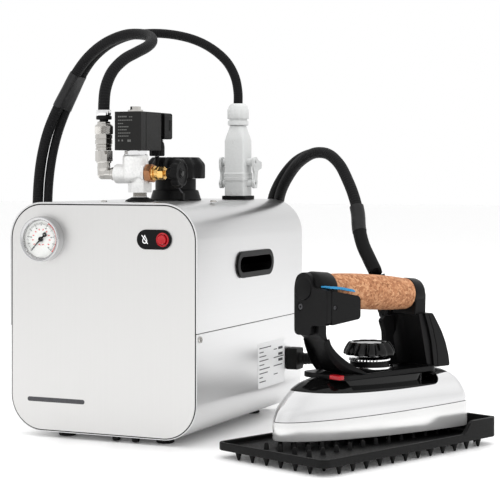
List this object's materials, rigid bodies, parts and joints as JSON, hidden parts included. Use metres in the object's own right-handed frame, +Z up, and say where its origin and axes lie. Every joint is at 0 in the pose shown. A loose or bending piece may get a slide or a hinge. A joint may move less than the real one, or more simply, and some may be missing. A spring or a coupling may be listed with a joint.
{
  "type": "steam generator iron",
  "caption": "Pressing steam station: a rounded stainless boiler case with gauge, filler and solenoid valve on top, hose and cable to a cork-handled iron standing on a rubber rest.",
  "frame": {"origin": "Centre of the object's footprint on the surface it stands on, measured without the free cords; Z is zero at that surface.", "axes": "+Z is up. -Y is the front, the side with the gauge; +X is the viewer's right when facing the front, the side where the iron stands; the object is longest along X."},
  "size_m": [0.6099, 0.4986, 0.471],
  "materials": {
    "steel": "satin stainless sheet",
    "front_steel": "brushed stainless, fine vertical grain",
    "sole_metal": "machined and polished sole, satin sides",
    "chrome": "mirror chrome plating",
    "nickel": "nickel plated brass",
    "cast_metal": "cast, lightly machined",
    "brass": "turned brass",
    "copper": "copper sheath",
    "black_plastic": "moulded black thermoset, low sheen",
    "gloss_black": "polished black",
    "rubber": "black elastomer",
    "grey_housing": "light grey enamel over die casting",
    "dial_white": "white enamel dial",
    "lens": "clear window",
    "red_plastic": "translucent red",
    "blue_plastic": "blue moulding",
    "cork": "turned natural cork, fine grain"
  },
  "bodies": {
    "boiler_unit": {"rear_panel": "steel", "upper_cover": "steel", "lower_casing": "steel", "boiler_tank": "steel", "boiler_cradle": "steel", "front_panel": "front_steel", "gauge_case": "chrome", "hose_clamp": "chrome", "armature_tube": "chrome", "outlet_elbow": "nickel", "coupler_socket": "nickel", "coil_nut": "nickel", "valve_body": "cast_metal", "regulator_body": "brass", "heating_element": "copper", "indicator_plate": "black_plastic", "solenoid_coil": "black_plastic", "coil_plug": "black_plastic", "coupler_tail": "black_plastic", "filler_base": "black_plastic", "grab_recess_right": "black_plastic", "grab_recess_left": "black_plastic", "pressure_switch": "black_plastic", "foot_front_left": "rubber", "foot_front_right": "rubber", "foot_rear_left": "rubber", "foot_rear_right": "rubber", "steam_flange": "rubber", "mains_gland": "rubber", "mains_cord": "rubber", "mains_coil": "rubber", "mains_plug": "rubber", "steam_hose": "rubber", "control_cable": "rubber", "iron_hose": "rubber", "rubber_rest": "rubber", "connector_base": "grey_housing", "connector_hood": "grey_housing", "connector_gland": "grey_housing", "gauge_dial": "dial_white", "gauge_lens": "lens"},
    "iron": {"sole_plate": "sole_metal", "iron_cover": "chrome", "heat_shield": "black_plastic", "handle_base": "black_plastic", "front_upright": "black_plastic", "rear_upright": "black_plastic", "switch_housing": "black_plastic", "cork_grip": "cork", "hose_boot": "rubber"},
    "steam_trigger": {"steam_lever": "blue_plastic"},
    "thermostat": {"thermostat_knob": "gloss_black", "thermostat_dial": "chrome"},
    "filler_lid": {"filler_cap": "black_plastic"},
    "regulator_wheel": {"regulator_spindle": "brass", "regulator_knob": "black_plastic"},
    "coupler_collar": {"coupler_sleeve": "nickel"},
    "connector_bail": {"locking_lever": "grey_housing"},
    "reset_push": {"reset_button": "red_plastic"},
    "gauge_pointer": {"gauge_needle": "gloss_black"}
  },
  "joints": [
    {"name": "iron_lift", "type": "slide", "parent": "boiler_unit", "child": "iron", "axis": [0, 0, 1], "range_m": [0, 0.06], "deforming": ["iron_hose"]},
    {"name": "steam_lever_press", "type": "hinge", "parent": "iron", "child": "steam_trigger", "pos_m": [0.09961, -0.08062, 0.1746], "axis": [-0.9026, 0.4305, 0], "range_deg": [0, 4], "stiffness_Nm_per_rad": 0.6, "springref_deg": -2.86},
    {"name": "thermostat_turn", "type": "hinge", "parent": "iron", "child": "thermostat", "pos_m": [0.1362, -0.0039, 0.1], "axis": [0, 0, 1], "range_deg": [0, 290]},
    {"name": "filler_cap_lift", "type": "slide", "parent": "boiler_unit", "child": "filler_lid", "axis": [0, 0, 1], "range_m": [0, 0.022]},
    {"name": "regulator_turn", "type": "hinge", "parent": "boiler_unit", "child": "regulator_wheel", "pos_m": [-0.09292, -0.04174, 0.2938], "axis": [1, 0, 0], "range_deg": [0, 330]},
    {"name": "coupler_release", "type": "slide", "parent": "boiler_unit", "child": "coupler_collar", "axis": [0, 0, 1], "range_m": [0, 0.004], "stiffness_N_per_m": 600, "springref_m": -0.003},
    {"name": "locking_lever_swing", "type": "hinge", "parent": "boiler_unit", "child": "connector_bail", "pos_m": [-0.07972, 0.12826, 0.2816], "axis": [1, 0, 0], "range_deg": [-90, 0]},
    {"name": "reset_button_press", "type": "slide", "parent": "boiler_unit", "child": "reset_push", "axis": [0, 1, 0], "range_m": [0, 0.002], "stiffness_N_per_m": 500, "springref_m": -0.002},
    {"name": "gauge_needle_turn", "type": "hinge", "parent": "boiler_unit", "child": "gauge_pointer", "pos_m": [-0.21092, -0.11074, 0.2208], "axis": [0, 1, 0], "range_deg": [0, 270], "stiffness_Nm_per_rad": 0.002}
  ]
}
